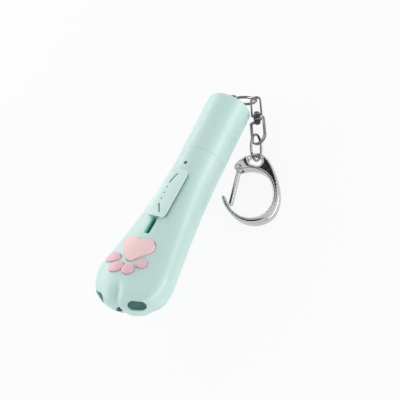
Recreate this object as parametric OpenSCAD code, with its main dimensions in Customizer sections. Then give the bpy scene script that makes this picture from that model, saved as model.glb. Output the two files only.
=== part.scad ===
// Cat paw laser pointer lying pads up on a table, with its key clasp beside it.
// The handle runs along X from the tail to the paw, the pads face +Z.
// The origin is on the table under the seam between the tail cap and the body.

/* [Handle] */
// Diameter of the round handle
handle_d = 20; // [19.4:0.2:20.6]
// Length of the tail cap that covers the charging plug
cap_len = 29.5; // [29:0.5:32]
// Length of the body from the cap seam to the tip of the paw
body_len = 76.6; // [75:0.2:78]
// Wall of the two moulded shells
wall = 2.2; // [2.1:0.05:2.3]
// Gap that shows at the cap seam
seam_gap = 0.12; // [0.1:0.02:0.2]

/* [Paw] */
// Width of the paw at its widest
paw_w = 33.4; // [32.6:0.2:34.4]
// Height of the palm above the top of the handle
palm_rise = 3.3; // [3:0.1:3.6]
// Height of the widest line of the paw above the handle axis
widest_rise = 5.3; // [5:0.1:5.6]
// Distance from the seam to where the handle starts to widen
flare_x = 8.5; // [7:0.5:10]
// Length of the rounded front, from the widest section to the tip
front_len = 16.1; // [15.6:0.1:16.6]

/* [Pads and controls] */
// Length of a middling toe pad
toe_len = 6.3; // [6:0.1:6.5]
// Width of a middling toe pad
toe_w = 4.3; // [4.1:0.1:4.5]
// Height of the pads above the palm
pad_proud = 1.1; // [0.9:0.1:1.3]
// Travel of the heart button
heart_travel = 0.6; // [0.4:0.1:0.7]
// Length of the thumb slider plate
plate_len = 24; // [23:0.5:24.5]
// Width of the thumb slider plate
plate_w = 9.4; // [9:0.2:10]
// Travel of the thumb slider
slider_travel = 8; // [7:0.5:8]

/* [Key clasp] */
// Diameter of the wire of the tail ring
ring_wire = 1.2; // [1:0.1:1.3]
// Outer width of the lower stirrup of the swivel
stirrup_w = 7.6; // [7.2:0.1:7.8]
// Outer diameter of the jump ring
jump_d = 12.2; // [12:0.1:12.4]
// Thickness of the clasp
clasp_t = 3.2; // [3:0.1:3.4]
// Thickness of the clasp gate
gate_t = 1.9; // [1.7:0.1:2]

/* [Hidden] */
$fn = 64;
mint = [0.72, 0.90, 0.86];
pink = [0.93, 0.75, 0.77];
steel = [0.80, 0.81, 0.83];

handle_r = handle_d / 2;
rest_flat = 0.15;
axis_z = handle_r - rest_flat;
widest_x = body_len - front_len;
tip_z = 7;
front_power = 2.3;
front_wall = 5.5;
round_sides = 40;
hollow_sides = 32;
big = 200;
slack = 0.02;

// Share of the way from the handle to the widest section
function flare(x, power) = pow(min(max((x - flare_x) / (widest_x - flare_x), 0), 1), power);
// Share of the section that is left as the front of the paw closes
function closing(x, tip) = x <= widest_x ? 1 :
  pow(max(1 - pow((x - widest_x) / (tip - widest_x), front_power), 0), 1 / front_power);
function half_w(x) = handle_r + (paw_w / 2 - handle_r) * flare(x, 1.5);
function widest_z(x) = widest_rise * flare(x, 1.4);
function palm_z(x) = handle_r + palm_rise * flare(x, 1.8);
// Point of the egg shaped section at x, turned round from the +Y side, inset from the outside
function skin(x, turn, inset, tip) =
  let (g = closing(x, tip), mid = widest_z(x))
  let (reach = sin(turn) > 0 ? palm_z(x) - inset - mid : mid + handle_r - inset)
  [x, (half_w(x) - inset) * g * cos(turn), tip_z * (1 - g) + (mid + reach * sin(turn)) * g];
// Height of the palm at a point
function palm_at(x, y) =
  let (g = closing(x, body_len), mid = tip_z * (1 - g) + widest_z(x) * g)
  let (top = tip_z * (1 - g) + palm_z(x) * g)
  mid + (top - mid) * sqrt(1 - pow(y / (half_w(x) * g), 2));
function slope_x(x, y) = palm_at(x + 0.5, y) - palm_at(x - 0.5, y);
function slope_y(x, y) = palm_at(x, y + 0.5) - palm_at(x, y - 0.5);

// Solid of the housing, inset from its outside, closed at both ends
module paw_form(inset, start, tip, sides) {
  handle_xs = [start, flare_x];
  flare_xs = [for (i = [1:12]) flare_x + (widest_x - flare_x) * i / 12];
  front_xs = [for (i = [1:8]) widest_x + (tip - widest_x) * sin(i * 11)];
  xs = concat(handle_xs, flare_xs, front_xs);
  last = (len(xs) - 1) * sides;
  rings = [for (x = xs) for (j = [0:sides - 1]) skin(x, j * 360 / sides, inset, tip)];
  ends = [[start, 0, 0], [tip, 0, tip_z]];
  side_faces = [for (i = [0:len(xs) - 2]) for (j = [0:sides - 1])
    let (a = i * sides + j, b = i * sides + (j + 1) % sides)
    for (f = [[a, b + sides, b], [a, a + sides, b + sides]]) f];
  tail_faces = [for (j = [0:sides - 1]) [len(rings), j, (j + 1) % sides]];
  tip_faces = [for (j = [0:sides - 1]) [len(rings) + 1, last + (j + 1) % sides, last + j]];
  polyhedron(concat(rings, ends), concat(side_faces, tail_faces, tip_faces), 10);
}
module on_axis() { translate([0, 0, axis_z]) children(); }
module on_palm(x, y) {
  translate([x, y, palm_at(x, y)]) rotate([atan(slope_y(x, y)), -atan(slope_x(x, y)), 0]) children();
}
module along_x(x, y, z) { translate([x, y, z]) rotate([0, 90, 0]) children(); }
module box(from, to) { translate(from) cube(to - from); }
module wire_ring(mean_r, wire_r) { rotate_extrude() translate([mean_r, 0]) circle(wire_r, $fn = 32); }

// Heart outline, tip towards the toes, grown by an even margin
heart_back = 7.9;
heart_x = widest_x - heart_back;
lobe = [-1.55, 3.7];
lobe_r = 3.55;
lobe_end = 210;
heart_notch = -3.9;
heart_tip = 3.85;
heart_tip_r = 2.4;
module heart(grow) {
  run = [heart_tip - lobe.x, -lobe.y];
  side = atan2(run.y, run.x) + acos((lobe_r - heart_tip_r) / norm(run));
  out = [cos(side), sin(side)];
  tangent = [lobe + (lobe_r + grow) * out, [heart_tip, 0] + (heart_tip_r + grow) * out];
  for (s = [-1, 1]) translate([lobe.x, s * lobe.y]) circle(lobe_r + grow);
  translate([heart_tip, 0]) circle(heart_tip_r + grow);
  notch_side = lobe + (lobe_r + grow) * [cos(lobe_end), sin(lobe_end)];
  upper_half = [notch_side, lobe, tangent[0], tangent[1]];
  polygon(concat([[heart_notch - grow, 0]], upper_half, [[heart_tip, 0]],
    [for (i = [3:-1:0]) [upper_half[i].x, -upper_half[i].y]]));
}

// Toe pads across the paw: place from the widest section, turn, share of the middling length and width
toe_place = [[-2.1, -8.7, 92, 1.33, 1.05], [1.9, -4.35, 110, 1.14, 0.97],
  [1.8, 1.65, 119, 0.84, 0.98], [-1.8, 6, 130, 0.7, 0.91]];
pad_seat = 0.9;
pad_dome_r = 9;
module toe_outline(i, grow) {
  half = [toe_len * toe_place[i][3] / 2 + grow, toe_w * toe_place[i][4] / 2 + grow];
  polygon([for (t = [0:10:350]) [half.x * cos(t), half.y * sin(t)]]);
}
module at_toe(i) { on_palm(widest_x + toe_place[i].x, toe_place[i].y) rotate(toe_place[i].z) children(); }

// Inside levels and places
board_top = 2.2;
board_t = 1;
board_from = 1.2;
board_step = widest_x - 22.5;
screw_place = [[widest_x - 16.5, 6.9], [widest_x - 1.9, 8.5]];
screw_r = 1;
screw_head_r = 1.9;
screw_seat = -4.2;
post_place = [[10, 5.5], [widest_x - 12, 3.3]];
post_r = 0.9;
boss_r = 2.2;
battery_r = 4.2;
battery_from = 4;
battery_len = 32;
battery_saddles = [9, 30];
saddle_t = 1.6;
battery_z = -3.45;
light_y = 9.05;
light_z = 7.4;
light_back = 2.7;
light_from = body_len - 15.4;
light_yaw = 31.7;
light_pitch = 21.8;
light_roll = 23;
lamp_r = 2.5;
lamp_len = 5.6;
lamp_flange_t = 1;
lamp_rib = [1.8, 3.8];
pane_depth = 1;
pane_pocket = 2.2;
window_t = 1;
window_x = body_len - 4.6;
laser_z = 2.5;
laser_r = 3;
laser_from = body_len - 18;
laser_len = 10;
laser_cradle = [2.4, 5.4];
beam_r = 2.4;
board_to = laser_from - 1.6;
pipe_x = 8.5;
pipe_r = 0.75;
plug_w = 12;
plug_h = 4.5;
plug_out = 23.8;
plug_t = 0.3;
plug_margin = 0.4;
spigot_len = 5;
spigot_grip = 0.3;
spigot_hollow = norm([plug_w, plug_h]) / 2 + plug_margin;
spigot_r = handle_r - wall + spigot_grip;

// Thumb slider track, rising with the back of the paw and ending short of the heart
slot_w = 2.8;
slot_end_gap = 0.3;
slot_to_heart = 4;
stem_from = 2;
stem_to = 11.4;
track_x = heart_x + heart_notch - slot_to_heart - slot_end_gap - slider_travel - stem_to;
track_z = handle_r + 1.05;
track_tilt = 2.75;
module on_track() { translate([track_x, 0, track_z]) rotate([0, -track_tilt, 0]) children(); }

// Front windows: the two lamp windows face outwards along the skin, the laser window faces ahead
pane_r = 2.35;
pane_half = 1.4;
module light_opening(grow) {
  for (s = [-1, 1]) translate([0, s * pane_half]) circle(pane_r + grow, $fn = 48);
  square([2 * (pane_r + grow), 2 * pane_half], center = true);
}
module at_light(s) {
  translate([body_len - light_back, s * light_y, light_z]) rotate([0, 0, s * light_yaw])
    rotate([0, 90 - light_pitch, 0]) rotate(-s * light_roll) children();
}
// Room for a lamp: loose round its flange and its dome, close in the rib that holds it
module lamp_room() {
  translate([0, 0, -0.3]) cylinder(h = lamp_flange_t + 0.6, r = lamp_r + 0.3);
  cylinder(h = lamp_len, r = lamp_r + slack);
  translate([0, 0, lamp_rib[1]]) cylinder(h = lamp_len - lamp_rib[1] + lamp_r + 0.7, r = lamp_r + 0.3);
}
module front_cuts() {
  for (s = [-1, 1]) {
    at_light(s) translate([0, 0, -pane_depth - 0.1]) linear_extrude(big) light_opening(0);
    at_light(s) translate([0, 0, -pane_depth - window_t - pane_pocket])
      linear_extrude(window_t + pane_pocket) light_opening(0.45);
    along_x(light_from, s * light_y, light_z) lamp_room();
  }
  along_x(window_x - 2, 0, laser_z) cylinder(h = big, r = beam_r);
  along_x(laser_from, 0, laser_z) cylinder(h = window_x - laser_from + window_t, r = laser_r + 0.1);
  // Grooves between the toes: across the paw, depth behind the tip, half width, and from and to heights
  for (g = [[0, 2.9, 1.7, -9.5, 8.5], [-9.6, 5.6, 1.5, -12, -1.6], [9.6, 5.6, 1.5, -12, -1.6]])
    translate([body_len - g[1], g[0], 5]) rotate([0, -12, atan(g[0] / 22)]) translate([0, 0, g[3]])
      linear_extrude(g[4] - g[3]) polygon([[0, 0], [6, -g[2]], [6, g[2]]]);
}
module wedge_cut(up) { translate([-big / 2, -big / 2, up ? 0 : -big]) cube(big); }
module spigot() {
  difference() {
    along_x(-spigot_len, 0, 0) cylinder(h = spigot_len + 3, r = spigot_r);
    along_x(-spigot_len - 1, 0, 0) cylinder(h = spigot_len + 5, r = spigot_hollow);
  }
}

module upper_shell() color(mint) on_axis() {
  difference() {
    union() {
      difference() {
        paw_form(0, 0, body_len, round_sides);
        paw_form(wall, -1, body_len - front_wall, hollow_sides);
      }
      spigot();
      intersection() {
        paw_form(0.6, 0, body_len - 1, hollow_sides);
        union() {
          for (p = screw_place, s = [-1, 1]) translate([p.x, s * p.y, 0]) cylinder(h = big, r = boss_r);
          for (s = [-1, 1]) translate([light_from, s * light_y, 0])
            box([lamp_rib[0], -3.4, light_z - 1], [lamp_rib[1], 3.4, big]);
        }
      }
    }
    wedge_cut(false);
    for (p = screw_place, s = [-1, 1]) translate([p.x, s * p.y, -1])
      cylinder(h = 6, r = screw_r - 0.15, $fn = 32);
    on_heart() translate([0, 0, -6]) linear_extrude(12) heart(0.25);
    for (i = [0:3]) at_toe(i) translate([0, 0, -pad_seat]) linear_extrude(6) toe_outline(i, 0.05);
    on_track() box([stem_from - slot_end_gap, -slot_w / 2, -6],
      [stem_to + slider_travel + slot_end_gap, slot_w / 2, 6]);
    translate([pipe_x, 0, 3]) cylinder(h = 10, r = pipe_r + 0.05, $fn = 32);
    front_cuts();
  }
}

module lower_shell() color(mint) on_axis() {
  difference() {
    union() {
      difference() {
        paw_form(0, 0, body_len, round_sides);
        paw_form(wall, -1, body_len - front_wall, hollow_sides);
      }
      spigot();
      intersection() {
        paw_form(0.6, 0, body_len - 1, hollow_sides);
        union() {
          for (p = screw_place, s = [-1, 1]) translate([p.x, s * p.y, -big]) cylinder(h = big, r = boss_r);
          for (p = post_place, s = [-1, 1])
            translate([p.x, s * p.y, -big]) cylinder(h = big - slack, r = post_r, $fn = 32);
          translate([laser_from, 0, 0]) box([laser_cradle[0], -3.6, -big], [laser_cradle[1], 3.6, laser_z]);
          for (x = battery_saddles) box([x, -3.4, -big], [x + saddle_t, 3.4, battery_z - 1]);
        }
      }
    }
    wedge_cut(true);
    box([-big, -big, -big], [big, big, -axis_z]);
    for (p = screw_place, s = [-1, 1]) translate([p.x, s * p.y, 0]) {
      translate([0, 0, -big / 2]) cylinder(h = big, r = screw_r + 0.1, $fn = 32);
      translate([0, 0, screw_seat - big]) cylinder(h = big, r = screw_head_r + 0.15, $fn = 48);
    }
    along_x(battery_from - 0.5, 0, battery_z) cylinder(h = battery_len + 1.5, r = battery_r + slack);
    front_cuts();
  }
}

module shell_screws() color(steel) on_axis() {
  for (p = screw_place, s = [-1, 1]) translate([p.x, s * p.y, screw_seat]) {
    difference() {
      translate([0, 0, -1.3]) cylinder(h = 1.3, r = screw_head_r, $fn = 48);
      for (a = [0, 90]) rotate(a) box([-1.2, -0.25, -2], [1.2, 0.25, -0.7]);
    }
    cylinder(h = 8, r = screw_r - 0.17, $fn = 32);
  }
}

flange_top = -4;
heart_dome_r = 36;
module on_heart() {
  translate([heart_x, 0, palm_at(heart_x, 0)]) rotate([0, -atan(slope_x(heart_x, 0)), 0]) children();
}
module heart_button() color([0.93, 0.77, 0.77]) on_axis() on_heart() {
  intersection() {
    translate([0, 0, flange_top]) linear_extrude(8) heart(0);
    translate([0, 0, pad_proud - heart_dome_r]) sphere(heart_dome_r, $fn = 128);
  }
  translate([0, 0, flange_top - 0.8]) linear_extrude(0.8) heart(0.7);
  translate([0, 0, touch_top - palm_at(heart_x, 0) + slack]) cylinder(h = 2, r = 2);
}

module toe_pad(i) color(pink) on_axis() at_toe(i) {
  intersection() {
    translate([0, 0, -pad_seat + slack]) linear_extrude(6) toe_outline(i, 0);
    translate([0, 0, pad_proud - pad_dome_r]) sphere(pad_dome_r, $fn = 96);
  }
}
module toe_pad_1() toe_pad(0);
module toe_pad_2() toe_pad(1);
module toe_pad_3() toe_pad(2);
module toe_pad_4() toe_pad(3);

// Crowned plate with a stem through the slot, a foot that keeps it in and a fork for the switch
plate_arch = 150;
plate_crown = 14;
plate_top = 1.35;
mark_depth = 0.3;
grip_dots = [[-2.2, -0.75], [0.8, -0.7], [3.6, -0.7]];
grip_lines = [[-7, -0.3, -14.5, 5.2], [8.1, 0.65, 29, 4.5]];
corner = 2.4;
foot_top = -3.3;
foot_t = 1;
fork_x = 6.4;
module rounded_plate() {
  inner = [plate_len - 2 * corner, plate_w - 2 * corner];
  square([plate_len, inner.y], center = true);
  square([inner.x, plate_w], center = true);
  for (sx = [-1, 1], sy = [-1, 1]) translate([sx * inner.x / 2, sy * inner.y / 2]) circle(corner);
}
module thumb_slider() color([0.75, 0.92, 0.88]) on_axis() on_track() {
  difference() {
    intersection() {
      translate([0, 0, -1]) linear_extrude(6) rounded_plate();
      translate([0, -big / 2, plate_top - plate_arch]) rotate([-90, 0, 0])
        cylinder(h = big, r = plate_arch, $fn = 256);
      along_x(-big / 2, 0, plate_top - plate_crown) cylinder(h = big, r = plate_crown, $fn = 128);
    }
    along_x(-big / 2, 0, -22) cylinder(h = big, r = 22, $fn = 128);
    for (d = grip_dots) translate([d.x, d.y, plate_top - mark_depth]) cylinder(h = 2, r = 0.4, $fn = 32);
    for (g = grip_lines) translate([g.x, g.y, plate_top - mark_depth - g.x * g.x / plate_arch]) rotate(g.z)
      box([-g[3] / 2, -0.3, 0], [g[3] / 2, 0.3, 2]);
  }
  box([stem_from, -slot_w / 2 + 0.3, foot_top - foot_t], [stem_to, slot_w / 2 - 0.3, 0.6]);
  box([stem_from - 0.3, -2.5, foot_top - foot_t], [stem_to + 0.3, 2.5, foot_top]);
  for (x = [fork_x - 2.1, fork_x + 0.9])
    box([x, -1.4, foot_top - foot_t - 1.6], [x + 1.2, 1.4, foot_top - foot_t + 0.1]);
}

// Slide switch on the board, with its lever in the slider's fork
switch_len = 15.6;
switch_h = 3;
switch_x = track_x + fork_x + slider_travel / 2;
module switch_body() color([0.25, 0.25, 0.27]) on_axis() translate([switch_x, 0, board_top]) {
  difference() {
    box([-switch_len / 2, -2.1, 0], [switch_len / 2, 2.1, switch_h]);
    box([-switch_len / 2 + 0.8, -1.6, 0.5], [switch_len / 2 - 0.8, 1.6, switch_h - 0.5]);
    box([-slider_travel / 2 - 1.3, -0.95, 1], [slider_travel / 2 + 1.3, 0.95, switch_h + 1]);
  }
}
module switch_lever() color([0.15, 0.15, 0.16]) on_axis() {
  on_track() box([fork_x - 0.85, -0.7, foot_top - foot_t - 3.6], [fork_x + 0.85, 0.7, foot_top - foot_t]);
  translate([track_x + fork_x, 0, board_top]) box([-1.8, -1.4, 0.75], [1.8, 1.4, 1.65]);
}

module circuit_board() color([0.10, 0.42, 0.24]) on_axis() {
  box([board_from, -6, board_top - board_t], [board_step, 6, board_top]);
  box([board_step, -4, board_top - board_t], [board_to, 4, board_top]);
}
module board_chips() color([0.12, 0.12, 0.13]) on_axis() {
  box([13, -2, board_top], [18, 2, board_top + 1.5]);
  box([20.5, 2.4, board_top], [23.5, 5.4, board_top + 1]);
  for (x = [4, 11, 20.5]) box([x, -5, board_top], [x + 2, -3.8, board_top + 0.6]);
}

touch_body_h = 3.5;
touch_top = 6.9;
module touch_switch() color([0.20, 0.20, 0.22]) on_axis() translate([touch_x, 0, board_top]) difference() {
  box([-3, -3, 0], [3, 3, touch_body_h]);
  translate([0, 0, 1.6]) cylinder(h = 4, r = 1.8);
}
plunger_h = 2.2;
touch_x = heart_x + (palm_at(heart_x, 0) - touch_top + plunger_h * 0.6) * slope_x(heart_x, 0);
module touch_plunger() color([0.85, 0.85, 0.86]) on_axis() on_heart()
  translate([0, 0, touch_top - palm_at(heart_x, 0) - plunger_h]) cylinder(h = plunger_h, r = 1.5);

tab_t = 0.2;
module battery() color([0.35, 0.50, 0.70]) on_axis() along_x(battery_from, 0, battery_z)
  cylinder(h = battery_len, r = battery_r);
module battery_tabs() color(steel) on_axis()
  for (x = [battery_from - tab_t, battery_from + battery_len])
    box([x, -1.5, battery_z - 1], [x + tab_t, 1.5, board_top - board_t]);

module laser_barrel() color([0.80, 0.62, 0.30]) on_axis() along_x(laser_from, 0, laser_z) difference() {
  cylinder(h = laser_len, r = laser_r);
  translate([0, 0, laser_len - 3.2]) cylinder(h = 4, r = 2.1);
}
module laser_lens() color([0.75, 0.85, 0.95]) on_axis()
  along_x(laser_from + laser_len - 3.2, 0, laser_z) intersection() {
    cylinder(h = 1.9, r = 2.1 - slack);
    translate([0, 0, 1.9 - 5]) sphere(5);
  }
// Five millimetre lamp with a flange
module lamp() {
  cylinder(h = lamp_len, r = lamp_r);
  translate([0, 0, lamp_len]) intersection() {
    sphere(lamp_r);
    cylinder(h = 3, r = 3);
  }
  cylinder(h = lamp_flange_t, r = lamp_r + 0.25);
}
module torch_led() color([0.95, 0.95, 0.85]) on_axis() along_x(light_from, light_y, light_z) lamp();
module uv_led() color([0.70, 0.65, 0.95]) on_axis() along_x(light_from, -light_y, light_z) lamp();

module light_window(s) color([0.25, 0.32, 0.32]) on_axis() at_light(s)
  translate([0, 0, -pane_depth - window_t]) linear_extrude(window_t - slack) light_opening(0.4);
module torch_window() light_window(1);
module uv_window() light_window(-1);
module laser_window() color([0.25, 0.32, 0.32]) on_axis()
  along_x(window_x, 0, laser_z) cylinder(h = window_t - slack, r = laser_r + 0.05);

module indicator_pipe() color([0.85, 0.90, 0.90]) on_axis()
  translate([pipe_x, 0, board_top + 0.82])
    cylinder(h = palm_at(pipe_x, 0) - board_top - 1, r = pipe_r, $fn = 32);
module indicator_led() color([0.95, 0.90, 0.70]) on_axis()
  box([pipe_x - 0.8, -0.5, board_top], [pipe_x + 0.8, 0.5, board_top + 0.8]);

// Charging plug that the cap covers
module plug_collar() color([0.92, 0.93, 0.93]) on_axis() difference() {
  along_x(-4.4, 0, 0) cylinder(h = 4, r = spigot_hollow - 0.02);
  box([-10, -plug_w / 2 - slack, -plug_h / 2 - slack], [5, plug_w / 2 + slack, plug_h / 2 + slack]);
}
module plug_shell() color(steel) on_axis() difference() {
  box([-plug_out, -plug_w / 2, -plug_h / 2], [1, plug_w / 2, plug_h / 2]);
  box([-plug_out - 1, -plug_w / 2 + plug_t, -plug_h / 2 + plug_t],
    [2, plug_w / 2 - plug_t, plug_h / 2 - plug_t]);
  for (y = [-3.75, 1.25], z = [0, -5]) box([-plug_out + 5.2, y, z], [-plug_out + 7.7, y + 2.5, z + 5]);
}
module plug_tongue() color([0.96, 0.96, 0.96]) on_axis()
  box([-plug_out + 0.6, -plug_w / 2 + plug_t + slack, -plug_h / 2 + plug_t + slack],
    [0.9, plug_w / 2 - plug_t - slack, 0]);
module plug_contacts() color([0.85, 0.70, 0.35]) on_axis()
  for (y = [-3.5, -1, 1, 3.5]) {
    box([-plug_out + 1.4, y - 0.5, 0.01], [1.4, y + 0.5, 0.25]);
    box([1, y - 0.5, 0.01], [1.2, y + 0.5, board_top - 0.4]);
  }

// Tail cap with a bored inside, a rounded tail edge and a threaded hole for the eye
cap_bore_r = spigot_r + 0.08;
cap_bore_to = plug_out + 1;
tail_round = 0.8;
eye_hole_r = 0.7;
module tail_cap() color(mint) on_axis() difference() {
  rotate([0, -90, 0]) rotate_extrude($fn = 128) polygon(concat(
    [[0, seam_gap], [handle_r - 0.15, seam_gap], [handle_r, seam_gap + 0.15]],
    [for (t = [0:15:90]) [handle_r, cap_len] + tail_round * [cos(t) - 1, sin(t) - 1]],
    [[0, cap_len]]));
  along_x(-cap_bore_to, 0, 0) cylinder(h = big, r = cap_bore_r, $fn = 128);
  along_x(-cap_len - 1, 0, 0) cylinder(h = 5, r = eye_hole_r, $fn = 32);
  box([-big, -big, -big], [big, big, -axis_z]);
}

// Places of the chain: eye, ring, swivel, jump ring and clasp as they lie on the table
eye_out = 4.3;
eye_mean = 1.75;
eye_wire_r = 0.6;
shank_in = 3.3;
eye_turn = 38;
eye_at = [-cap_len - eye_out, 0, axis_z];
ring_end = [-cap_len - 8.5, 7.6, 4.6];
ring_run = ring_end - eye_at;
ring_mean = norm(ring_run) / 2;
ring_lean = 12;
swivel_yaw = 27;
swivel_dive = 0.3;
upper_roll = -5;
lower_roll = 20;
upper_hook = 10;
hook_gap = 1.4;
upper_half = 2.5;
upper_strip_w = 1.1;
lower_hook = 14.6;
strip_t = 0.8;
lower_strip_w = 1.4;
jump_wire = 1.1;
jump_yaw = 11;
jump_hook = 3.65;
clasp_yaw = 18.2;
clasp_hook = 2.9;
clasp_lift = 5.2;
clasp_len = 34;
clasp_dive = asin((clasp_lift - clasp_t / 2) / clasp_len);
swivel_dir = [cos(swivel_dive) * cos(swivel_yaw), cos(swivel_dive) * sin(swivel_yaw), -sin(swivel_dive)];
rivet_at = ring_end + upper_hook * swivel_dir;
hook_at = rivet_at + lower_hook * swivel_dir;
jump_dir = [cos(jump_yaw), sin(jump_yaw), 0];
jump_at = [hook_at.x + jump_hook * jump_dir.x, hook_at.y + jump_hook * jump_dir.y, jump_d / 2];
clasp_at = [jump_at.x + clasp_hook * jump_dir.x, jump_at.y + clasp_hook * jump_dir.y, clasp_lift];
module on_swivel(roll) {
  translate(rivet_at) rotate([0, 0, swivel_yaw]) rotate([0, swivel_dive, 0]) rotate([roll, 0, 0]) children();
}
module on_clasp() {
  translate(clasp_at) rotate([0, 0, clasp_yaw]) rotate([0, clasp_dive, 0]) children();
}

module tail_eye() color(steel) {
  translate(eye_at) rotate([-eye_turn, 0, 0]) wire_ring(eye_mean, eye_wire_r);
  along_x(eye_at.x + eye_mean - 0.2, 0, axis_z)
    cylinder(h = eye_out - eye_mean + shank_in, r = eye_hole_r - slack, $fn = 32);
  along_x(-cap_len - 0.6, 0, axis_z) cylinder(h = 0.6, r = 1.9);
}
// The ring stands in the plane of its run, leaning from the wire direction through the eye
ring_turn = atan2(ring_run.x, norm([ring_run.y, ring_run.z]));
module tail_ring() color(steel)
  translate(eye_at + ring_run / 2) rotate([-atan2(-ring_run.z, ring_run.y), 0, 0])
    rotate([0, 0, -ring_turn]) rotate([0, 90 + ring_lean, 0]) wire_ring(ring_mean, ring_wire / 2);

// Bent strip with a flat yoke near the rivet and a round bow at its hook
module stirrup(half, hook, strip_w) {
  outer_x = hook + strip_t / 2;
  yoke_x = 1.25;
  bow = half;
  difference() {
    translate([0, 0, -strip_w / 2]) linear_extrude(strip_w) difference() {
      union() {
        translate([yoke_x, -half]) square([outer_x - bow - yoke_x, 2 * half]);
        translate([outer_x - bow, 0]) circle(bow);
      }
      translate([yoke_x + strip_t, -half + strip_t])
        square([outer_x - bow - yoke_x - strip_t, 2 * (half - strip_t)]);
      translate([outer_x - bow, 0]) circle(bow - strip_t);
    }
    along_x(0, 0, 0) cylinder(h = 5, r = rivet_r + 0.05, $fn = 48);
  }
  difference() {
    along_x(yoke_x, 0, 0) cylinder(h = strip_t, r = 1.5, $fn = 48);
    along_x(0, 0, 0) cylinder(h = 5, r = rivet_r + 0.05, $fn = 48);
  }
}
rivet_r = 0.8;
module upper_stirrup() color(steel) on_swivel(upper_roll)
  mirror([1, 0, 0]) stirrup(upper_half, upper_hook + ring_wire / 2 + strip_t / 2 + hook_gap, upper_strip_w);
module lower_stirrup() color(steel) on_swivel(lower_roll) stirrup(stirrup_w / 2, lower_hook, lower_strip_w);
module swivel_rivet() color(steel) on_swivel(0) {
  along_x(-1.15, 0, 0) cylinder(h = 2.3, r = 1.6, $fn = 48);
  along_x(-2.2, 0, 0) cylinder(h = 4.4, r = rivet_r, $fn = 48);
  for (x = [-2.95, 2.2]) along_x(x, 0, 0) cylinder(h = 0.75, r = 1.35, $fn = 48);
}

module jump_ring() color(steel)
  translate(jump_at) rotate([90, 0, jump_yaw]) wire_ring((jump_d - jump_wire) / 2, jump_wire / 2);

// Clasp outline: a smooth curve through a few points, from its eye round the bow to its nose
outer_points = [[8.1, -6.9], [6.9, -8.5], [5.1, -8.9], [3.1, -7.5], [1.2, -4.4], [0, 0], [1.2, 3.4],
  [4.8, 6.6], [10.9, 9.4], [17.9, 11.4], [24.7, 11.8], [30.4, 10], [33.4, 6], [33.9, 1], [32.1, -4.3],
  [28.5, -8.5], [24, -11.8], [20.7, -13.2], [19, -13.6], [19.1, -12.2]];
inner_points = [[22.1, -10.9], [26.3, -8.3], [29.7, -4], [31, 1], [29.7, 5.3], [26.2, 8.2], [20.9, 9],
  [15, 7.5], [10.9, 4.4], [8.6, 0.6], [7.9, -3.4]];
eye_points = [[2.6, -2.8], [1.5, -1.4], [1.4, 0.4], [2.8, 2.6], [5.1, 3.4], [6.6, 2.4], [6.2, 0.2],
  [4.6, -2.2]];
// Point on the smooth closed curve through points p, between point i and the next
function curve_point(p, i, t) =
  let (n = len(p), a = p[(i + n - 1) % n], b = p[i], c = p[(i + 1) % n], d = p[(i + 2) % n])
  0.5 * (2 * b + (c - a) * t + (2 * a - 5 * b + 4 * c - d) * t * t + (3 * b - a - 3 * c + d) * t * t * t);
function smooth_curve(p, steps) =
  [for (i = [0:len(p) - 1]) for (k = [0:steps - 1]) curve_point(p, i, k / steps)];
gate_pivot = [6.3, -6.8];
gate_tip = [22.6, -9.55];
gate_half = 0.8;
eye_t = 2.6;
pin_r = 0.55;
module clasp_body() color(steel) on_clasp() difference() {
  translate([0, 0, -clasp_t / 2]) linear_extrude(clasp_t) difference() {
    polygon(smooth_curve(concat(outer_points, inner_points), 6));
    polygon(smooth_curve(eye_points, 5));
  }
  for (z = [-4 - eye_t / 2, eye_t / 2]) box([-2, -3.4, z], [3, 4, z + 4]);
  box([gate_pivot.x - 1.8, gate_pivot.y - 5, -gate_t / 2 - 0.12],
    [gate_pivot.x + 5, gate_pivot.y + 2.2, gate_t / 2 + 0.12]);
  translate([gate_pivot.x, gate_pivot.y, -big / 2]) cylinder(h = big, r = pin_r + 0.01, $fn = 32);
}
module clasp_gate() color(steel) on_clasp() {
  run = gate_tip - gate_pivot;
  turn = atan2(run.y, run.x);
  translate([gate_pivot.x, gate_pivot.y, -gate_t / 2]) rotate(turn) difference() {
    union() {
      cylinder(h = gate_t, r = 1.5, $fn = 48);
      translate([0, -gate_half, 0]) cube([norm(run), 2 * gate_half, gate_t]);
      translate([norm(run), 0, 0]) cylinder(h = gate_t, r = gate_half, $fn = 48);
    }
    translate([0, 0, -1]) cylinder(h = gate_t + 2, r = pin_r + 0.05, $fn = 32);
  }
}
module gate_pin() color(steel) on_clasp()
  translate([gate_pivot.x, gate_pivot.y, -clasp_t / 2]) cylinder(h = clasp_t, r = pin_r, $fn = 32);

upper_shell();
lower_shell();
shell_screws();
heart_button();
toe_pad_1();
toe_pad_2();
toe_pad_3();
toe_pad_4();
thumb_slider();
switch_lever();
switch_body();
circuit_board();
board_chips();
touch_switch();
touch_plunger();
battery();
battery_tabs();
laser_barrel();
laser_lens();
torch_led();
uv_led();
laser_window();
torch_window();
uv_window();
indicator_pipe();
indicator_led();
plug_collar();
plug_shell();
plug_tongue();
plug_contacts();
tail_cap();
tail_eye();
tail_ring();
upper_stirrup();
swivel_rivet();
lower_stirrup();
jump_ring();
clasp_body();
clasp_gate();
gate_pin();
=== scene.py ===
import math
import bpy
import bmesh
from mathutils import Matrix, Vector


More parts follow.
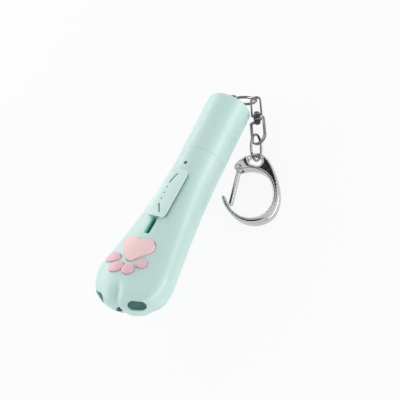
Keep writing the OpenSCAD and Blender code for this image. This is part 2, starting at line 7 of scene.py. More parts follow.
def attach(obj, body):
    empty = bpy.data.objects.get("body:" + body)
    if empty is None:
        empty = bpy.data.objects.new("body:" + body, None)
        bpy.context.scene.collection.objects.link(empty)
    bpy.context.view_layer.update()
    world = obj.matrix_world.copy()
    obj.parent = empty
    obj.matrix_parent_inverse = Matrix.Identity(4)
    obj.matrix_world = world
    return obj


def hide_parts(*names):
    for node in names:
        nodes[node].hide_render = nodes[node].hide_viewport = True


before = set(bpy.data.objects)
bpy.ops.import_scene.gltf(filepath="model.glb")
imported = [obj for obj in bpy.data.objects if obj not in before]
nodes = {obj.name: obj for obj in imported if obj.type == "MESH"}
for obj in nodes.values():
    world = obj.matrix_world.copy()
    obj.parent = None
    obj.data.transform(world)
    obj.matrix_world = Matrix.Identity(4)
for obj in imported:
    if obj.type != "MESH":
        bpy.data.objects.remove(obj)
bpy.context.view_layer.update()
mm = 0.001
weld = 1e-6  # metres
print("frame loaded", len(nodes), "nodes")


# small helpers, lengths in mm and angles in degrees

def place(name, bm, smoothAngle=35):
    mesh = bpy.data.meshes.new(name)
    bm.to_mesh(mesh)
    bm.free()
    obj = bpy.data.objects.new(name, mesh)
    bpy.context.collection.objects.link(obj)
    shade(obj, smoothAngle)
    return obj


def shade(obj, smoothAngle):
    obj.data.polygons.foreach_set("use_smooth", [True] * len(obj.data.polygons))
    obj.data.set_sharp_from_angle(angle=math.radians(smoothAngle))


def applyModifiers(obj):
    deps = bpy.context.evaluated_depsgraph_get()
    mesh = bpy.data.meshes.new_from_object(obj.evaluated_get(deps))
    obj.modifiers.clear()
    obj.data = mesh


def cutWith(obj, cutters, operation="DIFFERENCE"):
    for cutter in cutters:
        mod = obj.modifiers.new("cut", "BOOLEAN")
        mod.operation = operation
        mod.solver = "EXACT"
        mod.object = cutter
    applyModifiers(obj)
    for cutter in cutters:
        bpy.data.objects.remove(cutter)


def finishPiece(obj, body, material, slot, *stands):
    obj.data.materials.clear()
    obj.data.materials.append(material)
    if stands:
        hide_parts(*stands)
    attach(obj, body)
    return obj


def shift(x, y, z):
    return Matrix.Translation((x * mm, y * mm, z * mm))


def turn(angle, axis):
    return Matrix.Rotation(math.radians(angle), 4, axis)


def arc(cx, cy, radius, start, end, count):
    angles = [math.radians(start + (end - start) * i / count) for i in range(count + 1)]
    return [(cx + radius * math.cos(a), cy + radius * math.sin(a)) for a in angles]


def ellipse(rx, ry, count):
    angles = [2 * math.pi * i / count for i in range(count)]
    return [(rx * math.cos(a), ry * math.sin(a)) for a in angles]


def circle(radius, count=48):
    return ellipse(radius, radius, count)


def stadium(radius, half, count=20):
    upper = [(x, y + half) for x, y in arc(0, 0, radius, 0, 180, count)]
    return upper + [(x, y - half) for x, y in arc(0, 0, radius, 180, 360, count)]


def prism(name, outline, low, high, matrix):
    bm = bmesh.new()
    face = bm.faces.new([bm.verts.new((x * mm, y * mm, low * mm)) for x, y in outline])
    grown = bmesh.ops.extrude_face_region(bm, geom=[face])["geom"]
    top = [g for g in grown if isinstance(g, bmesh.types.BMVert)]
    bmesh.ops.translate(bm, verts=top, vec=(0, 0, (high - low) * mm))
    bmesh.ops.recalc_face_normals(bm, faces=bm.faces)
    bmesh.ops.transform(bm, matrix=matrix, verts=bm.verts)
    return place(name, bm)


def spunShell(name, profile, steps, axisUp):  # profile is (along x, radius), closed
    bm = bmesh.new()
    verts = [bm.verts.new((x * mm, 0, r * mm)) for x, r in profile]
    edges = [bm.edges.new((verts[i], verts[(i + 1) % len(verts)])) for i in range(len(verts))]
    bmesh.ops.spin(bm, geom=verts + edges, cent=(0, 0, 0), axis=(1, 0, 0), angle=2 * math.pi,
                   steps=steps, use_merge=True)
    bmesh.ops.remove_doubles(bm, verts=bm.verts, dist=weld)
    bmesh.ops.recalc_face_normals(bm, faces=bm.faces)
    bmesh.ops.translate(bm, verts=bm.verts, vec=(0, 0, axisUp * mm))
    return place(name, bm, 40)


def solidOf(node):
    bm = bmesh.new()
    bm.from_mesh(nodes[node].data)
    bmesh.ops.remove_doubles(bm, verts=bm.verts, dist=weld)
    return bm


def castFrom(node, name, voxel, rounds):  # remeshed and smoothed, as a casting is tumbled round
    obj = place(name, solidOf(node))
    remesh = obj.modifiers.new("even", "REMESH")
    remesh.mode = "VOXEL"
    remesh.voxel_size = voxel * mm
    tumble = obj.modifiers.new("tumble", "SMOOTH")
    tumble.factor = 0.5
    tumble.iterations = rounds
    applyModifiers(obj)
    shade(obj, 60)
    print(name, len(obj.data.polygons), "faces")
    return obj


def softened(node, name, width, segments):
    bm = solidOf(node)
    bmesh.ops.dissolve_limit(bm, angle_limit=math.radians(0.6), verts=bm.verts, edges=bm.edges)
    if width:
        keen = math.radians(32)
        edges = [e for e in bm.edges if len(e.link_faces) == 2 and e.calc_face_angle(0) > keen]
        bmesh.ops.bevel(bm, geom=edges, offset=width * mm, offset_type="OFFSET", segments=segments,
                        profile=0.5, affect="EDGES", clamp_overlap=True, material=-1)
    return place(name, bm, 30)


# materials

def rgb(red, green, blue):
    return tuple(pow(v / 255, 2.2) for v in (red, green, blue)) + (1,)


def startMaterial(name):
    mat = bpy.data.materials.new(name)
    mat.use_nodes = True
    tree = mat.node_tree
    return mat, tree, tree.nodes["Principled BSDF"]


def noiseOn(tree, scale, detail=3, stretch=(1, 1, 1)):
    coords = tree.nodes.new("ShaderNodeTexCoord")
    mapping = tree.nodes.new("ShaderNodeMapping")
    mapping.inputs["Scale"].default_value = stretch
    noise = tree.nodes.new("ShaderNodeTexNoise")
    noise.inputs["Scale"].default_value = scale
    noise.inputs["Detail"].default_value = detail
    tree.links.new(coords.outputs["Object"], mapping.inputs["Vector"])
    tree.links.new(mapping.outputs["Vector"], noise.inputs["Vector"])
    return noise


def roughDrift(tree, noise, shader, rough):
    ramp = tree.nodes.new("ShaderNodeMapRange")
    ramp.inputs["From Min"].default_value = 0.3
    ramp.inputs["From Max"].default_value = 0.7
    ramp.inputs["To Min"].default_value = rough[0]
    ramp.inputs["To Max"].default_value = rough[1]
    tree.links.new(noise.outputs["Fac"], ramp.inputs["Value"])
    tree.links.new(ramp.outputs["Result"], shader.inputs["Roughness"])


def colourDrift(tree, noise, shader, colour, other):
    mix = tree.nodes.new("ShaderNodeMix")
    mix.data_type = "RGBA"
    mix.inputs["A"].default_value = colour
    mix.inputs["B"].default_value = other
    tree.links.new(noise.outputs["Fac"], mix.inputs["Factor"])
    tree.links.new(mix.outputs["Result"], shader.inputs["Base Color"])


def bumpFrom(tree, noise, shader, strength, distance):
    bump = tree.nodes.new("ShaderNodeBump")
    bump.inputs["Strength"].default_value = strength
    bump.inputs["Distance"].default_value = distance
    tree.links.new(noise.outputs["Fac"], bump.inputs["Height"])
    tree.links.new(bump.outputs["Normal"], shader.inputs["Normal"])


def mouldedPlastic(name, colour, other, rough=(0.3, 0.4), coat=0.15, glow=0.0):
    mat, tree, shader = startMaterial(name)
    colourDrift(tree, noiseOn(tree, 60), shader, colour, other)
    roughDrift(tree, noiseOn(tree, 350, 4), shader, rough)
    bumpFrom(tree, noiseOn(tree, 2600, 2), shader, 0.06, 0.00005)  # fine spark-eroded mould grain
    shader.inputs["Coat Weight"].default_value = coat
    shader.inputs["Coat Roughness"].default_value = 0.25
    shader.inputs["Subsurface Weight"].default_value = glow
    shader.inputs["Subsurface Radius"].default_value = (0.4, 1.0, 0.85)
    shader.inputs["Subsurface Scale"].default_value = 0.0012
    return mat


def platedMetal(name, colour, other, rough, stretch=(1, 1, 1)):
    mat, tree, shader = startMaterial(name)
    colourDrift(tree, noiseOn(tree, 120), shader, colour, other)
    roughDrift(tree, noiseOn(tree, 500, 5, stretch), shader, rough)
    bumpFrom(tree, noiseOn(tree, 260), shader, 0.03, 0.0002)  # slight unevenness of the plating
    shader.inputs["Metallic"].default_value = 1.0
    return mat


def clearPart(name, colour, other, see, rough=(0.04, 0.12), grain=200):
    mat, tree, shader = startMaterial(name)
    colourDrift(tree, noiseOn(tree, grain), shader, colour, other)
    roughDrift(tree, noiseOn(tree, 600), shader, rough)
    shader.inputs["Transmission Weight"].default_value = see
    shader.inputs["IOR"].default_value = 1.5
    return mat


mint = mouldedPlastic("mintPlastic", rgb(200, 231, 225), rgb(205, 233, 228), (0.34, 0.44), 0.1, 0.35)
mintSlide = mouldedPlastic("mintSlidePlastic", rgb(214, 240, 236), rgb(219, 243, 239), glow=0.2)
# dark teal for the laser bezel; on the slider's long sides it is painted shade, in place of the shadow gap under
# the plate
bezelAndGapShadeTeal = mouldedPlastic("darkTealBezelAndGapShade", (0.05, 0.15, 0.125, 1), (0.06, 0.175, 0.145, 1), (0.5, 0.65))
# painted shade: darker teal for the slider's sunk marks
markShadeTeal = mouldedPlastic("markPaintedShadeTeal", (0.17, 0.37, 0.32, 1), (0.2, 0.41, 0.36, 1), (0.5, 0.65))
heartPink = mouldedPlastic("heartPinkPlastic", rgb(246, 208, 208), rgb(248, 213, 213), (0.38, 0.5), glow=0.05)
toePink = mouldedPlastic("toePinkPlastic", rgb(236, 190, 198), rgb(240, 197, 205), (0.38, 0.5), glow=0.05)
blackPlastic = mouldedPlastic("blackPlastic", (0.012, 0.012, 0.014, 1), (0.02, 0.02, 0.022, 1), (0.4, 0.55))
whitePlastic = mouldedPlastic("whitePlastic", (0.78, 0.79, 0.79, 1), (0.82, 0.83, 0.83, 1), (0.35, 0.45))
boardGreen = mouldedPlastic("boardGreen", (0.06, 0.4, 0.3, 1), (0.075, 0.45, 0.34, 1), (0.3, 0.42))
batteryWrap = mouldedPlastic("batteryWrap", (0.08, 0.18, 0.4, 1), (0.1, 0.21, 0.45, 1))
# painted shade: bright teal on the slot's liner, standing in for the shaded inside of the slot
slotShadeTeal = mouldedPlastic("slotLinerPaintedShade", (0.18, 0.72, 0.58, 1), (0.21, 0.75, 0.61, 1), (0.4, 0.55))
# teal of the switch parts; on the ledges under the slot it is painted shade, standing in for the slot's shaded
# inside
switchAndSlotShadeTeal = mouldedPlastic("switchTealAndSlotShade", (0.28, 0.93, 0.78, 1), (0.31, 0.96, 0.81, 1), (0.4, 0.55))
chrome = platedMetal("chromePlate", (0.52, 0.52, 0.53, 1), (0.6, 0.6, 0.61, 1), (0.03, 0.08))
# darker copies of the chrome plate for the chain and the swivel rivet: their low colour is painted dark reflection
chainChromeDarkReflection = platedMetal("chainChromeDarkReflectionPlate", (0.17, 0.17, 0.174, 1), (0.25, 0.25, 0.255, 1), (0.03, 0.08))
rivetChromeDarkReflection = platedMetal("rivetChromeDarkReflectionPlate", (0.04, 0.04, 0.041, 1), (0.07, 0.07, 0.072, 1), (0.04, 0.1))
zincPlate = platedMetal("zincPlate", (0.5, 0.5, 0.52, 1), (0.6, 0.6, 0.61, 1), (0.25, 0.4))
plugSteel = platedMetal("plugSteel", (0.55, 0.55, 0.57, 1), (0.63, 0.63, 0.65, 1), (0.2, 0.34), (0.1, 1, 1))
brassTurned = platedMetal("turnedBrass", (0.58, 0.36, 0.11, 1), (0.66, 0.43, 0.15, 1), (0.18, 0.3), (3, 1, 1))
windowDark = clearPart("darkWindow", (0.004, 0.08, 0.072, 1), (0.09, 0.34, 0.315, 1), 0.3, grain=420)
lampClear = clearPart("clearLamp", (0.92, 0.92, 0.86, 1), (0.96, 0.96, 0.9, 1), 0.8)
lampViolet = clearPart("violetLamp", (0.45, 0.38, 0.85, 1), (0.5, 0.42, 0.9, 1), 0.8)
lensGlass = clearPart("lensGlass", (0.8, 0.9, 0.97, 1), (0.85, 0.93, 0.98, 1), 0.95)
lightPipe = clearPart("smokedPipe", (0.05, 0.08, 0.08, 1), (0.07, 0.1, 0.1, 1), 0.4, (0.3, 0.45))
print("materials made")


# paw housing: one lofted section, shelled and split

paw = {
    "handleR": 10.0, "length": 76.6, "width": 33.4, "palmRise": 3.3, "widestRise": 5.3, "axisUp": 9.85,
    "flareAt": 8.5, "widestAt": 60.5, "tipUp": 7.0, "frontPower": 2.3,
    "widthPower": 1.5, "middlePower": 1.4, "palmPower": 1.8,  # how late the flare sets in
    "wall": 2.2, "frontWall": 5.5, "partGap": 0.025,
    "around": 144, "aroundInside": 96, "flareSteps": 52, "frontSteps": 40, "frontStep": 2.2,
}
toeValleys = {
    "across": (0.0, -9.6, 9.6), "depth": (1.7, 1.3, 1.3), "spread": (1.7, 1.5, 1.5),
    "from": 66.0, "full": 73.0, "sideTop": 3.6, "sideFull": -1.6,  # the side valleys stay below the windows
}


def flare(x, power):
    return min(max((x - paw["flareAt"]) / (paw["widestAt"] - paw["flareAt"]), 0), 1) ** power


def closing(x, tip):
    if x <= paw["widestAt"]:
        return 1.0
    p = paw["frontPower"]
    return max(1 - ((x - paw["widestAt"]) / (tip - paw["widestAt"])) ** p, 0) ** (1 / p)


def halfWidth(x):
    return paw["handleR"] + (paw["width"] / 2 - paw["handleR"]) * flare(x, paw["widthPower"])


def middleRise(x):
    return paw["widestRise"] * flare(x, paw["middlePower"])


def topRise(x):
    return paw["handleR"] + paw["palmRise"] * flare(x, paw["palmPower"])


def skinPoint(x, angle, inset, tip):
    g = closing(x, tip)
    mid = middleRise(x)
    reach = topRise(x) - inset - mid if math.sin(angle) > 0 else mid + paw["handleR"] - inset
    z = paw["tipUp"] * (1 - g) + (mid + reach * math.sin(angle)) * g
    return Vector((x, (halfWidth(x) - inset) * g * math.cos(angle), z + paw["axisUp"])) * mm


def palmHeight(x, y):
    g = closing(x, paw["length"])
    mid = paw["tipUp"] * (1 - g) + middleRise(x) * g
    top = paw["tipUp"] * (1 - g) + topRise(x) * g
    return mid + (top - mid) * math.sqrt(1 - (y / (halfWidth(x) * g)) ** 2)


def onPalm(x, y):
    tiltX = math.degrees(math.atan(palmHeight(x + 0.5, y) - palmHeight(x - 0.5, y)))
    tiltY = math.degrees(math.atan(palmHeight(x, y + 0.5) - palmHeight(x, y - 0.5)))
    return shift(x, y, palmHeight(x, y) + paw["axisUp"]) @ turn(-tiltX, "Y") @ turn(tiltY, "X")


def eased(value, start, end):
    share = min(max((value - start) / (end - start), 0), 1)
    return share * share * (3 - 2 * share)


def valleyDepth(co):
    x, y, z = co.x / mm, co.y / mm, co.z / mm - paw["axisUp"]
    below = eased(z, toeValleys["sideTop"], toeValleys["sideFull"])
    rows = zip(toeValleys["across"], toeValleys["depth"], toeValleys["spread"], (1, below, below))
    deep = sum(d * k * math.exp(-((y - a) / w) ** 2) for a, d, w, k in rows)
    return eased(x, toeValleys["from"], toeValleys["full"]) * deep


def pawStations(start, tip):
    flareRun, frontRun = paw["widestAt"] - paw["flareAt"], tip - paw["widestAt"]
    stations = [start, start + 2, paw["flareAt"] - 2, paw["flareAt"]]
    for i in range(1, paw["flareSteps"] + 1):
        stations.append(paw["flareAt"] + flareRun * i / paw["flareSteps"])
    for i in range(1, paw["frontSteps"] + 1):
        stations.append(paw["widestAt"] + frontRun * math.sin(math.radians(i * paw["frontStep"])))
    return stations


def pawForm(name, inset, start, tip, around, grooved):
    stations = pawStations(start, tip)
    bm = bmesh.new()
    ring = bmesh.ops.create_circle(bm, cap_ends=False, segments=around, radius=1)["verts"]
    edges = list(bm.edges)
    for x in stations:
        angles = [(v, math.atan2(v.co.y, v.co.x)) for v in ring]
        if x != stations[-1]:
            grown = bmesh.ops.extrude_edge_only(bm, edges=edges)["geom"]
            ring = [g for g in grown if isinstance(g, bmesh.types.BMVert)]
            fresh = set(ring)
            grownEdges = [g for g in grown if isinstance(g, bmesh.types.BMEdge)]
            edges = [e for e in grownEdges if e.verts[0] in fresh and e.verts[1] in fresh]
        for v, angle in angles:
            v.co = skinPoint(x, angle, inset, tip)
    bmesh.ops.pointmerge(bm, verts=ring, merge_co=Vector((tip, 0, paw["tipUp"] + paw["axisUp"])) * mm)
    bmesh.ops.holes_fill(bm, edges=[e for e in bm.edges if e.is_boundary], sides=0)
    bmesh.ops.recalc_face_normals(bm, faces=bm.faces)
    if grooved:
        bm.normal_update()
        for v in bm.verts:
            v.co -= v.normal * (valleyDepth(v.co) * mm)
        for v in bm.verts:
            v.co.z = max(v.co.z, 0.0)  # the flat it rests on
    return place(name, bm)


# openings of the housing

heart = {
    "x": 52.6, "lobe": (-1.55, 3.7), "lobeR": 3.55, "lobeEnd": 210, "notch": -3.9, "tip": 3.85, "tipR": 2.4,
    "gap": 0.25,
}
toes = [  # place, turn, length and width
    (58.4, -8.7, 92, 8.379, 4.515), (62.4, -4.35, 110, 7.182, 4.171),
    (62.3, 1.65, 119, 5.292, 4.214), (58.7, 6.0, 130, 4.41, 3.913),
]
toeSeat = {"depth": 0.9, "gap": 0.18, "corners": 56}
lights = {
    "x": 73.9, "y": 9.05, "z": 7.4, "yaw": 31.7, "pitch": 21.8, "roll": 23,
    "radius": 2.35, "half": 1.4, "depth": 1.0, "pocketTo": 4.2, "pocketGrow": 0.45,
    "lampFrom": 60.9, "lampTo": 70.0, "lampRoom": 2.8,
}
laser = {
    "z": 2.5, "radius": 2.4, "bore": 3.1, "from": 58.6, "window": 72.0, "windowT": 1.0, "openTo": 90,
    "bezelTo": 78.0, "bezelWall": 0.22, "bezelBack": 0.1, "bezelGap": 0.05,
}
track = {
    "x": 25.0, "z": 11.05, "tilt": 2.75, "slot": 2.8, "from": 1.7, "to": 19.9, "corner": 0.5,
    "liner": 0.16, "linerHeight": (-3.2, -0.8), "linerSeat": 0.05,
}
ledge = {  # beside the slot, under the slider's foot; painted shade: teal shelves seen through the slot in place of its shaded inside
    "from": 9.5, "to": 20.6, "near": 1.7, "far": 8.6, "height": (-5.2, -4.5),
}
indicator = {"x": 8.5, "radius": 0.8}
screws = {  # radius, lowest, highest and corners
    "at": [(44.0, 6.9), (58.6, 8.5)],
    "recess": (2.05, -14, -4.2, 40), "hole": (1.1, -5, 0.5, 28), "boss": (2.4, -6.9, -0.05, 40),
}
spigot = {"profile": [(-5, 6.81), (-5, 7.9), (-4.8, 8.1), (3, 8.1), (3, 6.81)], "steps": 96}
through = (-6, 6)  # past both sides of the wall
alongX = turn(90, "Y")
onTrack = shift(track["x"], 0, track["z"] + paw["axisUp"]) @ turn(-track["tilt"], "Y")
onBeam = shift(0, 0, laser["z"] + paw["axisUp"]) @ alongX


def heartOutline(grow):
    lx, ly = heart["lobe"]
    run = (heart["tip"] - lx, -ly)
    lean = math.acos((heart["lobeR"] - heart["tipR"]) / math.hypot(*run))
    side = math.degrees(math.atan2(run[1], run[0]) + lean)
    half = [(heart["notch"] - grow, 0)] + arc(lx, ly, heart["lobeR"] + grow, heart["lobeEnd"], side, 28)
    half += arc(heart["tip"], 0, heart["tipR"] + grow, side, 0, 8)
    return half + [(x, -y) for x, y in reversed(half[1:-1])]


def slotOutline(inset):
    w, c = track["slot"] / 2 - inset, track["corner"]
    start, end = track["from"] + inset, track["to"] - inset
    rounds = arc(end - c, c - w, c, -90, 0, 6) + arc(end - c, w - c, c, 0, 90, 6)
    return [(start, -w)] + rounds + [(start, w)]


def windowCutters():
    cutters = []
    pane = stadium(lights["radius"], lights["half"])
    widePane = stadium(lights["radius"] + lights["pocketGrow"], lights["half"])
    for s in (-1, 1):
        lampAt = (s * lights["y"], lights["z"] + paw["axisUp"])
        facing = shift(lights["x"], *lampAt) @ turn(s * lights["yaw"], "Z")
        facing = facing @ turn(90 - lights["pitch"], "Y") @ turn(-s * lights["roll"], "Z")
        cutters.append(prism("lampWindow", pane, -lights["depth"] - 0.1, 20, facing))
        cutters.append(prism("panePocket", widePane, -lights["pocketTo"], -lights["depth"], facing))
        room = circle(lights["lampRoom"])
        cutters.append(prism("lampPocket", room, lights["lampFrom"], lights["lampTo"], shift(0, *lampAt) @ alongX))
    pocketTo = laser["window"] + laser["windowT"]
    cutters.append(prism("laserOpening", circle(laser["radius"]), laser["window"] - 2, laser["openTo"], onBeam))
    cutters.append(prism("laserPocket", circle(laser["bore"]), laser["from"], pocketTo, onBeam))
    return cutters


def halfSpace(up):
    low, high = (paw["partGap"], 60) if up else (-60, -paw["partGap"])
    wide = [(-60, -60), (140, -60), (140, 60), (-60, 60)]  # well past the paw
    return prism("halfSpace", wide, low, high, shift(0, 0, paw["axisUp"]))


def screwForms(*kinds):
    forms = []
    for x, y in screws["at"]:
        for s in (-1, 1):
            for kind in kinds:
                radius, low, high, corners = screws[kind]
                forms.append(prism(kind, circle(radius, corners), low, high, shift(x, s * y, paw["axisUp"])))
    return forms


def hollowPaw(name):
    shell = pawForm(name, 0, 0, paw["length"], paw["around"], True)
    inside = paw["length"] - paw["frontWall"]
    cutWith(shell, [pawForm("hollow", paw["wall"], -1, inside, paw["aroundInside"], False)])
    return shell


def makeUpper():
    upper = hollowPaw("pawUpper")
    cutters = [halfSpace(False)]
    cutters.append(prism("heartHole", heartOutline(heart["gap"]), *through, onPalm(heart["x"], 0)))
    for x, y, angle, length, width in toes:
        gap = toeSeat["gap"]
        outline = ellipse(length / 2 + gap, width / 2 + gap, toeSeat["corners"])
        cutters.append(prism("toePocket", outline, -toeSeat["depth"], 5, onPalm(x, y) @ turn(angle, "Z")))
    cutters.append(prism("slideSlot", slotOutline(0), *through, onTrack))
    pipeHole = circle(indicator["radius"], 32)
    cutters.append(prism("indicatorHole", pipeHole, 3, 14, shift(indicator["x"], 0, paw["axisUp"])))
    cutWith(upper, cutters + windowCutters())
    shade(upper, 32)
    return upper


def makeLower():
    lower = hollowPaw("pawLower")
    cutWith(lower, screwForms("boss"), "UNION")
    cutWith(lower, [halfSpace(True)] + screwForms("recess", "hole") + windowCutters())
    shade(lower, 32)
    return lower


# painted shade: a teal sheet lining the slot, in place of the slot's shaded inside
def makeShadeLiner():
    liner = prism("slotShadeLiner", slotOutline(-track["linerSeat"]), *track["linerHeight"], onTrack)
    cutWith(liner, [prism("linerRoom", slotOutline(track["liner"]), *through, onTrack)])
    return liner


def makeLedge(name, side):
    start, end = ledge["from"], ledge["to"]
    near, far = side * ledge["near"], side * ledge["far"]
    return prism(name, [(start, near), (end, near), (end, far), (start, far)], *ledge["height"], onTrack)


def makeBezel():
    back = laser["window"] + laser["windowT"] + laser["bezelGap"]
    bezel = prism("laserBezel", circle(laser["radius"]), back, laser["bezelTo"], onBeam)
    bore = circle(laser["radius"] - laser["bezelWall"])
    cutWith(bezel, [prism("bezelBore", bore, laser["window"], laser["bezelTo"] + 1, onBeam)])
    inset = laser["bezelBack"]
    cutWith(bezel, [pawForm("bezelTrim", inset, 0, paw["length"] - inset, paw["around"], True)], "INTERSECT")
    return bezel


finishPiece(makeUpper(), "body", mint, "mint_shell", "upper_shell")
finishPiece(makeLower(), "body", mint, "mint_shell", "lower_shell")
plugSpigot = spunShell("plugSpigot", spigot["profile"], spigot["steps"], paw["axisUp"])
finishPiece(plugSpigot, "body", mint, "mint_shell")
finishPiece(makeShadeLiner(), "body", slotShadeTeal, "mint_shell")
finishPiece(makeLedge("slotShadeLedgeLeft", -1), "body", switchAndSlotShadeTeal, "mint_shell")
finishPiece(makeLedge("slotShadeLedgeRight", 1), "body", switchAndSlotShadeTeal, "mint_shell")
finishPiece(makeBezel(), "body", bezelAndGapShadeTeal, "window_dark")
print("paw housing made")


# tail cap

cap = {
    "length": 29.5, "seam": 0.04, "edge": 0.03, "bore": 8.18, "boreTo": 24.8, "round": 0.8, "eyeHole": 0.7,
    "straightTo": 6, "steps": 144,
}


def makeCap():
    r, end, c, mouth = paw["handleR"], cap["length"], cap["round"], -cap["seam"]
    profile = [(mouth, cap["bore"]), (mouth, r - cap["edge"]), (mouth - cap["edge"], r)]
    profile += [(-end + cap["straightTo"], r)]
    for angle in range(0, 91, 10):
        a = math.radians(angle)
        profile.append((-end + c - c * math.sin(a), r - c + c * math.cos(a)))
    profile += [(-end, cap["eyeHole"]), (-cap["boreTo"], cap["eyeHole"]), (-cap["boreTo"], cap["bore"])]
    piece = spunShell("tailCapShell", profile, cap["steps"], paw["axisUp"])
    for v in piece.data.vertices:
        v.co.z = max(v.co.z, 0.0)  # the flat it rests on
    return piece


finishPiece(makeCap(), "cap", mint, "mint_shell", "tail_cap")
print("tail cap made")


# pads, slider and chain: the solids with their edges rounded over

rounded = [  # node, piece name, edge radius, steps, body, material, slot
    ("heart_button", "heartPad", 0.55, 5, "heart", heartPink, "heart_pink"),
    ("toe_pad_1", "toePadOne", 0.3, 4, "body", toePink, "toe_pink"),
    ("toe_pad_2", "toePadTwo", 0.3, 4, "body", toePink, "toe_pink"),
    ("toe_pad_3", "toePadThree", 0.3, 4, "body", toePink, "toe_pink"),
    ("toe_pad_4", "toePadFour", 0.3, 4, "body", toePink, "toe_pink"),
    ("thumb_slider", "sliderPlate", 0.25, 3, "slider", mintSlide, "mint_slider"),
    ("gate_pin", "gatePinHead", 0.1, 2, "clasp", chrome, "chrome"),
    ("upper_stirrup", "upperStirrupStrip", 0.22, 3, "swivel", chainChromeDarkReflection, "chrome"),
    ("lower_stirrup", "lowerStirrupStrip", 0.25, 3, "stirrup", chainChromeDarkReflection, "chrome"),
    ("swivel_rivet", "swivelRivetHeads", 0.2, 3, "swivel", rivetChromeDarkReflection, "chrome"),
    ("tail_eye", "tailEyeLoop", 0.1, 2, "eye", chainChromeDarkReflection, "chrome"),
    ("tail_ring", "tailRingWire", 0, 0, "ring", chainChromeDarkReflection, "chrome"),
    ("jump_ring", "jumpRingWire", 0, 0, "link", chainChromeDarkReflection, "chrome"),
    ("plug_shell", "plugShellTube", 0.08, 2, "body", plugSteel, "plug_steel"),
    ("plug_collar", "plugCollarBlock", 0.15, 2, "body", whitePlastic, "white_plastic"),
    ("shell_screws", "shellScrewHeads", 0.12, 2, "body", zincPlate, "zinc"),
]
gapShadeBand = {"top": 0.14, "bottom": -0.62, "side": 4.2}  # painted shade: a dark teal band low on the slider's two long sides, standing in for the shadow gap under the plate
marks = {  # painted shade: darker teal in the slider's sunk marks
    "top": 1.35, "crown": 14, "arch": 150, "depth": 0.14, "across": 3, "lowest": 0.45,
}


def inGapShadeBand(at):
    return gapShadeBand["bottom"] < at.z < gapShadeBand["top"] and abs(at.y) > gapShadeBand["side"]


def inShadedMark(at):
    surface = marks["top"] - at.y ** 2 / (2 * marks["crown"]) - at.x ** 2 / (2 * marks["arch"])
    return abs(at.y) < marks["across"] and at.z > marks["lowest"] and surface - at.z > marks["depth"]


# painted shade on the slider: a dark band low on its long sides for the shadow gap, and darker teal in its sunk
# marks
def paintSlider(obj):
    obj.data.materials.append(bezelAndGapShadeTeal)
    obj.data.materials.append(markShadeTeal)
    bm = bmesh.new()
    bm.from_mesh(obj.data)
    level = onTrack @ Vector((0, 0, gapShadeBand["top"] * mm))
    bmesh.ops.bisect_plane(bm, geom=bm.verts[:] + bm.edges[:] + bm.faces[:], plane_co=level,
                           plane_no=onTrack.to_3x3() @ Vector((0, 0, 1)))
    toTrack = onTrack.inverted()
    for face in bm.faces:
        middle = toTrack @ face.calc_center_median() / mm
        if inGapShadeBand(middle):
            face.material_index = 1
        elif inShadedMark(middle):
            face.material_index = 2
    bm.to_mesh(obj.data)
    bm.free()


for node, name, radius, steps, body, material, slot in rounded:
    piece = finishPiece(softened(node, name, radius, steps), body, material, slot, node)
    if node == "thumb_slider":
        paintSlider(piece)
finishPiece(castFrom("clasp_body", "claspFrame", 0.17, 80), "clasp", chrome, "chrome", "clasp_body")
finishPiece(castFrom("clasp_gate", "claspGateBar", 0.11, 24), "gate", chrome, "chrome", "clasp_gate")
print("pads, slider and chain made")


# inner parts keep their solids and get a finish

carried = {
    "switch_lever": switchAndSlotShadeTeal, "switch_body": switchAndSlotShadeTeal, "circuit_board": boardGreen,
    "board_chips": blackPlastic, "touch_switch": blackPlastic, "touch_plunger": whitePlastic,
    "battery": batteryWrap, "battery_tabs": zincPlate, "laser_barrel": brassTurned, "laser_lens": lensGlass,
    "torch_led": lampClear, "uv_led": lampViolet, "laser_window": windowDark, "torch_window": windowDark,
    "uv_window": windowDark, "indicator_pipe": lightPipe, "indicator_led": lampClear,
    "plug_tongue": whitePlastic, "plug_contacts": brassTurned,
}
for node, material in carried.items():
    for slotItem in nodes[node].material_slots:
        slotItem.material = material
print("inner parts finished")


# floor, lights, world and camera, places in metres

stageSet = {"floorSize": 4.0, "floorDrop": 0.0001, "floorShare": 0.87, "tableGlow": 0.9, "ambient": 0.65}
softboxes = [  # name, place, width and height, power, lights the matt surfaces too
    ("rightBox", (0.0, 0.6, 0.13), (1.1, 0.24), 1.5, True),
    ("rightStrip", (0.0, 0.62, 0.16), (1.2, 0.28), 4.2, False),
    ("leftBox", (0.0, -0.6, 0.24), (1.1, 0.34), 2.7, True),
]
lampAim = (0.02, 0, 0.01)
darkCards = [  # name, distance, lowest and highest angle, from and round to; only the gloss sees them
    ("farCard", 0.75, 53, 63, 195, 38.2),
    ("sideCard", 0.75, 53, 65, 237.6, 20),
    ("nearCard", 0.78, 34, 60, 20, 64),
    ("lowCard", 0.8, 3, 15, 0, 360),
]
view = {  # the photo's view: direction, picture turn, and the tail end's place in the picture in mm
    "toCamera": (0.4177, 0.5316, 0.7368), "roll": 26.37, "distance": 380, "left": 13.05, "down": 40.93,
    "lens": 77.5, "sensor": 36, "clip": (0.01, 20),
}
seenRays = ("Is Camera Ray", "Is Glossy Ray", "Is Transmission Ray")


def raysOf(tree, kinds):
    lightPath = tree.nodes.new("ShaderNodeLightPath")
    total = lightPath.outputs[kinds[0]]
    for kind in kinds[1:]:
        either = tree.nodes.new("ShaderNodeMath")
        either.operation = "MAXIMUM"
        tree.links.new(total, either.inputs[0])
        tree.links.new(lightPath.outputs[kind], either.inputs[1])
        total = either.outputs[0]
    return total


def timesPlus(tree, value, factor, extra=None):
    node = tree.nodes.new("ShaderNodeMath")
    node.operation = "MULTIPLY_ADD"
    tree.links.new(value, node.inputs[0])
    node.inputs[1].default_value = factor
    node.inputs[2].default_value = 0
    if extra:
        tree.links.new(extra, node.inputs[2])
    return node.outputs[0]


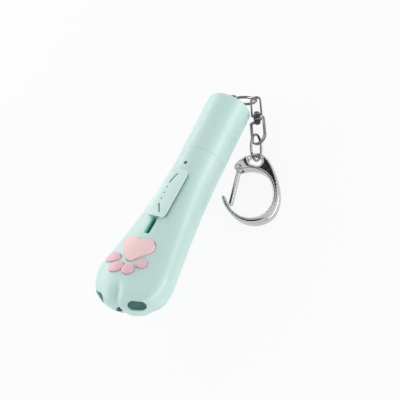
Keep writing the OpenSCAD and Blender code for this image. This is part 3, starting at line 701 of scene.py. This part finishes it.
def mattPaint(name, colour):
    mat, tree, shader = startMaterial(name)
    shader.inputs["Base Color"].default_value = colour
    shader.inputs["Roughness"].default_value = 0.9
    return mat, tree, shader


def makeFloor():
    bm = bmesh.new()
    bmesh.ops.create_grid(bm, x_segments=1, y_segments=1, size=stageSet["floorSize"])
    floor = place("paleFloor", bm)
    mat, tree, shader = mattPaint("paleFloorPaint", (0.9, 0.9, 0.9, 1))
    shader.inputs["Specular IOR Level"].default_value = 0.1
    glow = tree.nodes.new("ShaderNodeEmission")
    glow.inputs["Strength"].default_value = 1.0
    mix = tree.nodes.new("ShaderNodeMixShader")
    bounced = timesPlus(tree, raysOf(tree, ("Is Diffuse Ray",)), stageSet["tableGlow"])
    share = timesPlus(tree, raysOf(tree, seenRays), stageSet["floorShare"], bounced)
    tree.links.new(share, mix.inputs[0])
    tree.links.new(shader.outputs[0], mix.inputs[1])
    tree.links.new(glow.outputs[0], mix.inputs[2])
    tree.links.new(mix.outputs[0], tree.nodes["Material Output"].inputs["Surface"])
    floor.data.materials.append(mat)
    floor.location.z = -stageSet["floorDrop"]


def darkCard(name, distance, low, high, start, sweep):
    bm = bmesh.new()
    heights = [distance * math.tan(math.radians(a)) for a in (low, high)]
    side = [bm.verts.new((distance, 0, z)) for z in heights]
    edge = bm.edges.new(side)
    bmesh.ops.rotate(bm, verts=side, cent=(0, 0, 0), matrix=turn(start, "Z"))
    bmesh.ops.spin(bm, geom=side + [edge], cent=(0, 0, 0), axis=(0, 0, 1), angle=math.radians(sweep),
                   steps=72, use_merge=sweep == 360)
    card = place(name, bm)
    mat, tree, shader = mattPaint(name + "Cloth", (0.01, 0.01, 0.01, 1))
    card.data.materials.append(mat)
    card.visible_camera = card.visible_diffuse = card.visible_transmission = card.visible_shadow = False


def softbox(name, at, size, power, matt):
    lamp = bpy.data.lights.new(name, "AREA")
    lamp.shape = "RECTANGLE"
    lamp.size, lamp.size_y = size
    lamp.energy = power
    obj = bpy.data.objects.new(name, lamp)
    obj.visible_diffuse = matt
    facing = (Vector(lampAim) - Vector(at)).to_track_quat("-Z", "Y").to_matrix().to_4x4()
    obj.matrix_world = Matrix.Translation(at) @ facing
    bpy.context.collection.objects.link(obj)


def makeWorld():
    world = bpy.data.worlds.new("studio")
    bpy.context.scene.world = world
    world.use_nodes = True
    tree = world.node_tree
    back = tree.nodes["Background"]
    back.inputs["Color"].default_value = (1, 1, 1, 1)
    strength = tree.nodes.new("ShaderNodeMapRange")
    strength.inputs["To Min"].default_value = stageSet["ambient"]
    strength.inputs["To Max"].default_value = 1.0
    tree.links.new(raysOf(tree, seenRays), strength.inputs["Value"])
    tree.links.new(strength.outputs["Result"], back.inputs["Strength"])


def makeCamera():
    toCamera = Vector(view["toCamera"]).normalized()
    handleSeen = (Vector((1, 0, 0)) - toCamera * toCamera.x).normalized()
    acrossSeen = toCamera.cross(handleSeen)
    roll = math.radians(view["roll"])
    right = acrossSeen * math.cos(roll) - handleSeen * math.sin(roll)
    down = handleSeen * math.cos(roll) + acrossSeen * math.sin(roll)
    tailEnd = Vector((-cap["length"], 0, paw["axisUp"]))
    at = (tailEnd + toCamera * view["distance"] - right * view["left"] + down * view["down"]) * mm
    camera = bpy.data.objects.new("photoCamera", bpy.data.cameras.new("photoCamera"))
    camera.data.lens = view["lens"]
    camera.data.sensor_width = view["sensor"]
    camera.data.clip_start, camera.data.clip_end = view["clip"]
    camera.matrix_world = Matrix.Translation(at) @ Matrix((right, -down, toCamera)).transposed().to_4x4()
    bpy.context.collection.objects.link(camera)
    bpy.context.scene.camera = camera


makeFloor()
for card in darkCards:
    darkCard(*card)
for box in softboxes:
    softbox(*box)
makeWorld()
makeCamera()
bpy.context.scene.view_settings.view_transform = "Standard"
print("stage set")
